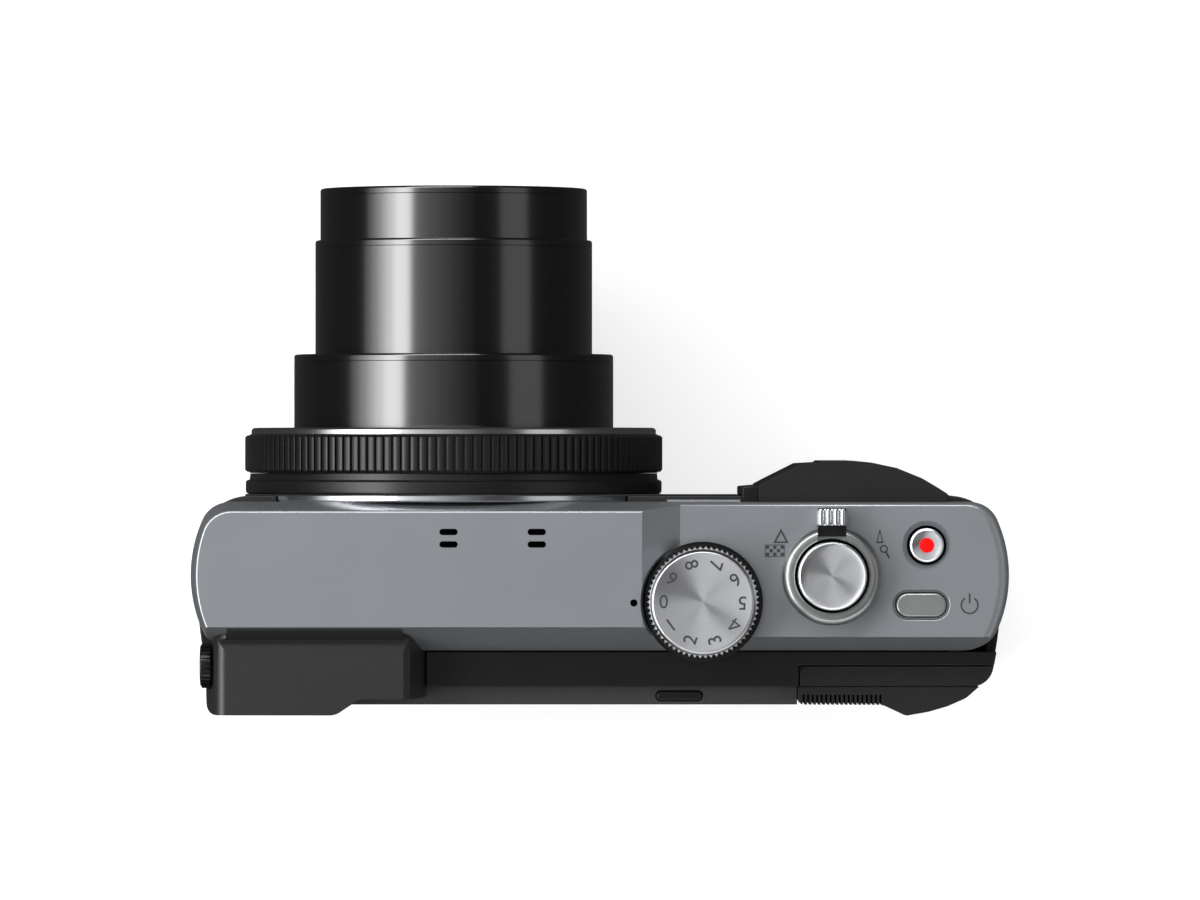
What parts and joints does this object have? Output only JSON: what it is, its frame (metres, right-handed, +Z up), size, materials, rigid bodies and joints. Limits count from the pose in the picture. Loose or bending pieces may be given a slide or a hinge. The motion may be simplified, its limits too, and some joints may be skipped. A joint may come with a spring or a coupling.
{
  "type": "compact digital camera",
  "caption": "Slim pocket digital camera with a telescoping zoom lens, control ring, top dials and buttons, finger grip, eye-level viewfinder and rear display.",
  "frame": {"origin": "mouth of the tripod socket in the base plate, which is the base plane, centred across the body", "axes": "+Z up, lens looks along -Y, +X towards the viewfinder side, which is on the right seen from the front"},
  "size_m": [0.112, 0.073, 0.0641],
  "materials": {
    "silver_paint": "fine metallic silver-grey paint with a satin clear coat",
    "black_case": "fine matt black texture",
    "satin_black": "satin black moulded plastic",
    "black_rubber": "matt black rubber",
    "gloss_barrel": "glossy black anodised barrel",
    "black_metal": "satin black turned metal",
    "bright_metal": "bright machined metal",
    "spun_metal": "spun aluminium with fine concentric lines",
    "lens_glass": "coated optical glass",
    "clear_window": "clear ribbed flash window",
    "amber_window": "translucent red-amber lamp window",
    "screen_glass": "dark display glass",
    "sensor_face": "dark glassy electronic face",
    "circuit_board": "green solder mask",
    "battery_wrap": "dark grey battery shell",
    "card_plastic": "blue plastic card shell"
  },
  "bodies": {
    "camera": {"top_cover": "silver_paint", "front_cover": "black_case", "rear_cover": "black_case", "base_plate": "black_case", "front_grip": "black_rubber", "thumb_rest": "black_rubber", "flash_window": "clear_window", "flash_unit": "bright_metal", "focus_lamp_window": "amber_window", "strap_bar": "bright_metal", "case_screws": "bright_metal", "tripod_bush": "bright_metal", "viewfinder_housing": "satin_black", "eyecup": "black_rubber", "viewfinder_lens": "lens_glass", "lens_trim_ring": "bright_metal", "lens_base_ring": "black_metal", "fixed_barrel": "satin_black", "sensor_plate": "bright_metal", "image_sensor": "sensor_face", "zoom_motor": "bright_metal", "focus_motor": "bright_metal", "display_frame": "satin_black", "display_panel": "sensor_face", "display_glass": "screen_glass", "main_board": "circuit_board", "speaker": "satin_black", "microphones": "bright_metal", "battery_box": "satin_black", "door_hinge_pin": "bright_metal", "sockets": "bright_metal"},
    "control_ring": {"control_ring": "black_metal", "control_ring_trim": "bright_metal"},
    "outer_barrel": {"outer_barrel": "gloss_barrel", "rear_lens_group": "satin_black"},
    "middle_barrel": {"middle_barrel": "gloss_barrel", "middle_lens_group": "satin_black"},
    "front_barrel": {"front_barrel": "gloss_barrel", "front_lens": "lens_glass"},
    "barrier_blade_upper": {"barrier_blade_upper": "satin_black"},
    "barrier_blade_lower": {"barrier_blade_lower": "satin_black"},
    "focus_group": {"focus_group": "satin_black"},
    "mode_dial": {"mode_dial": "spun_metal"},
    "zoom_lever": {"zoom_lever": "spun_metal"},
    "shutter_button": {"shutter_button": "spun_metal"},
    "movie_button": {"movie_button": "spun_metal"},
    "power_button": {"power_button": "spun_metal"},
    "control_dial": {"control_dial": "satin_black"},
    "menu_button": {"menu_button": "satin_black"},
    "viewfinder_button": {"viewfinder_button": "satin_black"},
    "lock_button": {"lock_button": "satin_black"},
    "playback_button": {"playback_button": "satin_black"},
    "display_button": {"display_button": "satin_black"},
    "delete_button": {"delete_button": "satin_black"},
    "diopter_dial": {"diopter_dial": "satin_black"},
    "battery": {"battery": "battery_wrap"},
    "memory_card": {"memory_card": "card_plastic"},
    "battery_door": {"battery_door": "black_case"},
    "door_latch": {"door_latch": "satin_black"},
    "terminal_door": {"terminal_door": "black_rubber"}
  },
  "joints": [
    {"name": "control_ring_turn", "type": "hinge", "parent": "camera", "child": "control_ring", "pos_m": [0.0203, -0.0202, 0.031], "axis": [0, -1, 0], "continuous": true},
    {"name": "outer_barrel_slide", "type": "slide", "parent": "camera", "child": "outer_barrel", "axis": [0, 1, 0], "range_m": [0, 0.01]},
    {"name": "middle_barrel_slide", "type": "slide", "parent": "outer_barrel", "child": "middle_barrel", "axis": [0, 1, 0], "range_m": [0, 0.0159]},
    {"name": "front_barrel_slide", "type": "slide", "parent": "middle_barrel", "child": "front_barrel", "axis": [0, 1, 0], "range_m": [0, 0.0072]},
    {"name": "upper_blade_slide", "type": "slide", "parent": "front_barrel", "child": "barrier_blade_upper", "axis": [0, 0, -1], "range_m": [0, 0.00785]},
    {"name": "lower_blade_slide", "type": "slide", "parent": "front_barrel", "child": "barrier_blade_lower", "axis": [0, 0, 1], "range_m": [0, 0.00785]},
    {"name": "focus_slide", "type": "slide", "parent": "camera", "child": "focus_group", "axis": [0, -1, 0], "range_m": [0, 0.0013]},
    {"name": "mode_dial_turn", "type": "hinge", "parent": "camera", "child": "mode_dial", "pos_m": [-0.0141, 0, 0.0583], "axis": [0, 0, 1], "continuous": true},
    {"name": "zoom_lever_turn", "type": "hinge", "parent": "camera", "child": "zoom_lever", "pos_m": [-0.0317, -0.00356, 0.0583], "axis": [0, 0, 1], "range_deg": [-20, 20], "stiffness_Nm_per_rad": 0.02},
    {"name": "shutter_button_press", "type": "slide", "parent": "camera", "child": "shutter_button", "axis": [0, 0, -1], "range_m": [0, 0.001], "stiffness_N_per_m": 400, "springref_m": -0.0003},
    {"name": "movie_button_press", "type": "slide", "parent": "camera", "child": "movie_button", "axis": [0, 0, -1], "range_m": [0, 0.0004], "stiffness_N_per_m": 400, "springref_m": -0.0003},
    {"name": "power_button_press", "type": "slide", "parent": "camera", "child": "power_button", "axis": [0, 0, -1], "range_m": [0, 0.0003], "stiffness_N_per_m": 400, "springref_m": -0.0003},
    {"name": "control_dial_turn", "type": "hinge", "parent": "camera", "child": "control_dial", "pos_m": [-0.037, 0.0125, 0.02], "axis": [0, 1, 0], "continuous": true},
    {"name": "menu_button_press", "type": "slide", "parent": "camera", "child": "menu_button", "axis": [0, -1, 0], "range_m": [0, 0.0004], "stiffness_N_per_m": 400, "springref_m": -0.0003},
    {"name": "viewfinder_button_press", "type": "slide", "parent": "camera", "child": "viewfinder_button", "axis": [0, 0, -1], "range_m": [0, 0.0003], "stiffness_N_per_m": 400, "springref_m": -0.0003},
    {"name": "lock_button_press", "type": "slide", "parent": "camera", "child": "lock_button", "axis": [0, -1, 0], "range_m": [0, 0.0004], "stiffness_N_per_m": 400, "springref_m": -0.0003},
    {"name": "playback_button_press", "type": "slide", "parent": "camera", "child": "playback_button", "axis": [0, -1, 0], "range_m": [0, 0.0004], "stiffness_N_per_m": 400, "springref_m": -0.0003},
    {"name": "display_button_press", "type": "slide", "parent": "camera", "child": "display_button", "axis": [0, -1, 0], "range_m": [0, 0.0004], "stiffness_N_per_m": 400, "springref_m": -0.0003},
    {"name": "delete_button_press", "type": "slide", "parent": "camera", "child": "delete_button", "axis": [0, -1, 0], "range_m": [0, 0.0004], "stiffness_N_per_m": 400, "springref_m": -0.0003},
    {"name": "diopter_turn", "type": "hinge", "parent": "camera", "child": "diopter_dial", "pos_m": [0.0535, 0.0088, 0.0546], "axis": [1, 0, 0], "range_deg": [-120, 120]},
    {"name": "battery_door_swing", "type": "hinge", "parent": "camera", "child": "battery_door", "pos_m": [-0.0518, 0, 0.0016], "axis": [0, 1, 0], "range_deg": [0, 90]},
    {"name": "door_latch_slide", "type": "slide", "parent": "battery_door", "child": "door_latch", "axis": [1, 0, 0], "range_m": [0, 0.0022]},
    {"name": "battery_pop", "type": "slide", "parent": "camera", "child": "battery", "axis": [0, 0, -1], "range_m": [0, 0.00785]},
    {"name": "card_pop", "type": "slide", "parent": "camera", "child": "memory_card", "axis": [0, 0, -1], "range_m": [0, 0.004]},
    {"name": "terminal_door_swing", "type": "hinge", "parent": "camera", "child": "terminal_door", "pos_m": [-0.05495, -0.0016, 0.025], "axis": [0, 0, -1], "range_deg": [0, 90]}
  ],
  "couplings": [
    {"joint": "middle_barrel_slide", "follows": "outer_barrel_slide", "ratio": 1.59},
    {"joint": "front_barrel_slide", "follows": "outer_barrel_slide", "ratio": 0.72},
    {"joint": "upper_blade_slide", "follows": "outer_barrel_slide", "ratio": 0.785},
    {"joint": "lower_blade_slide", "follows": "outer_barrel_slide", "ratio": 0.785},
    {"joint": "battery_door_swing", "follows": "battery_pop", "rad_per_m": 200},
    {"joint": "card_pop", "follows": "battery_pop", "ratio": 0.5}
  ]
}
